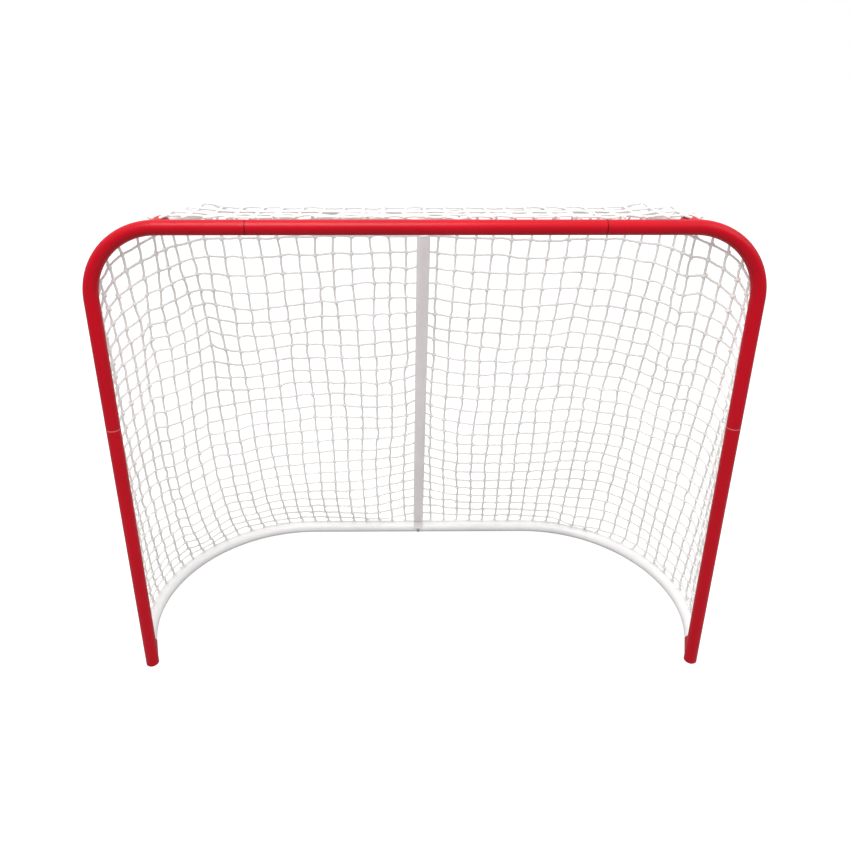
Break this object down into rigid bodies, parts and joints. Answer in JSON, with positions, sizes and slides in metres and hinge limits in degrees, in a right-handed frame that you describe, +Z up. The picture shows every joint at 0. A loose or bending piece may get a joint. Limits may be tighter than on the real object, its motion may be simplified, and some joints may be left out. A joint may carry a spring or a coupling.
{
  "type": "hockey goal net",
  "caption": "Sectional tubular steel street hockey goal with a red mouth frame, white base and top rails, a centre bar and white cord netting.",
  "frame": {"origin": "on the floor at the middle of the footprint of the whole goal", "axes": "+X to the right seen from in front of the goal mouth, +Y from the mouth towards the back of the goal, +Z up"},
  "size_m": [1.5316, 0.6332, 1.1589],
  "materials": {
    "red_paint": "glossy red powder coat",
    "red_plastic": "moulded red plastic",
    "white_paint": "glossy white powder coat",
    "grey_paint": "satin off-white powder coat",
    "zinc": "zinc plated",
    "spring_steel": "plain spring steel",
    "cord": "twisted white cord",
    "netting": "knotted white square mesh"
  },
  "bodies": {
    "root": {"crossbar_middle": "red_paint", "corner_left": "red_paint", "corner_right": "red_paint", "lower_post_left": "red_paint", "lower_post_right": "red_paint", "foot_plug_left": "red_plastic", "foot_plug_right": "red_plastic", "base_left": "white_paint", "base_right": "white_paint", "top_rail_left": "white_paint", "top_rail_right": "white_paint", "stanchion": "grey_paint", "stanchion_bolts": "zinc", "stanchion_nuts": "zinc", "button_springs": "spring_steel", "base_eyelets": "white_paint", "top_eyelets": "white_paint", "mouth_cord": "cord", "base_cord": "cord", "top_cord": "cord", "netting_back": "netting", "netting_side_left": "netting", "netting_side_right": "netting", "netting_top": "netting"},
    "button_crossbar_left": {"button_crossbar_left": "spring_steel"},
    "button_post_left": {"button_post_left": "spring_steel"},
    "button_base_left": {"button_base_left": "spring_steel"},
    "button_top_left": {"button_top_left": "spring_steel"},
    "button_crossbar_right": {"button_crossbar_right": "spring_steel"},
    "button_post_right": {"button_post_right": "spring_steel"},
    "button_base_right": {"button_base_right": "spring_steel"},
    "button_top_right": {"button_top_right": "spring_steel"}
  },
  "joints": [
    {"name": "press_crossbar_left", "type": "hinge", "parent": "root", "child": "button_crossbar_left", "pos_m": [-0.386, -0.30074, 1.13347], "axis": [0, -0.7071, -0.7071], "range_deg": [0, 6.5]},
    {"name": "press_post_left", "type": "hinge", "parent": "root", "child": "button_post_left", "pos_m": [-0.70168, -0.30074, 0.7], "axis": [-0.7071, -0.7071, 0], "range_deg": [0, 6.5]},
    {"name": "press_base_left", "type": "hinge", "parent": "root", "child": "button_base_left", "pos_m": [-0.73049, -0.22077, 0.01588], "axis": [0, 0, 1], "range_deg": [0, 6.5]},
    {"name": "press_top_left", "type": "hinge", "parent": "root", "child": "button_top_left", "pos_m": [-0.552, -0.21574, 1.13347], "axis": [-1, 0, 0], "range_deg": [0, 6.5]},
    {"name": "press_crossbar_right", "type": "hinge", "parent": "root", "child": "button_crossbar_right", "pos_m": [0.386, -0.30074, 1.13347], "axis": [0, 0.7071, 0.7071], "range_deg": [0, 6.5]},
    {"name": "press_post_right", "type": "hinge", "parent": "root", "child": "button_post_right", "pos_m": [0.70168, -0.30074, 0.7], "axis": [-0.7071, 0.7071, 0], "range_deg": [0, 6.5]},
    {"name": "press_base_right", "type": "hinge", "parent": "root", "child": "button_base_right", "pos_m": [0.73049, -0.22077, 0.01588], "axis": [0, 0, -1], "range_deg": [0, 6.5]},
    {"name": "press_top_right", "type": "hinge", "parent": "root", "child": "button_top_right", "pos_m": [0.552, -0.21574, 1.13347], "axis": [-1, 0, 0], "range_deg": [0, 6.5]}
  ]
}
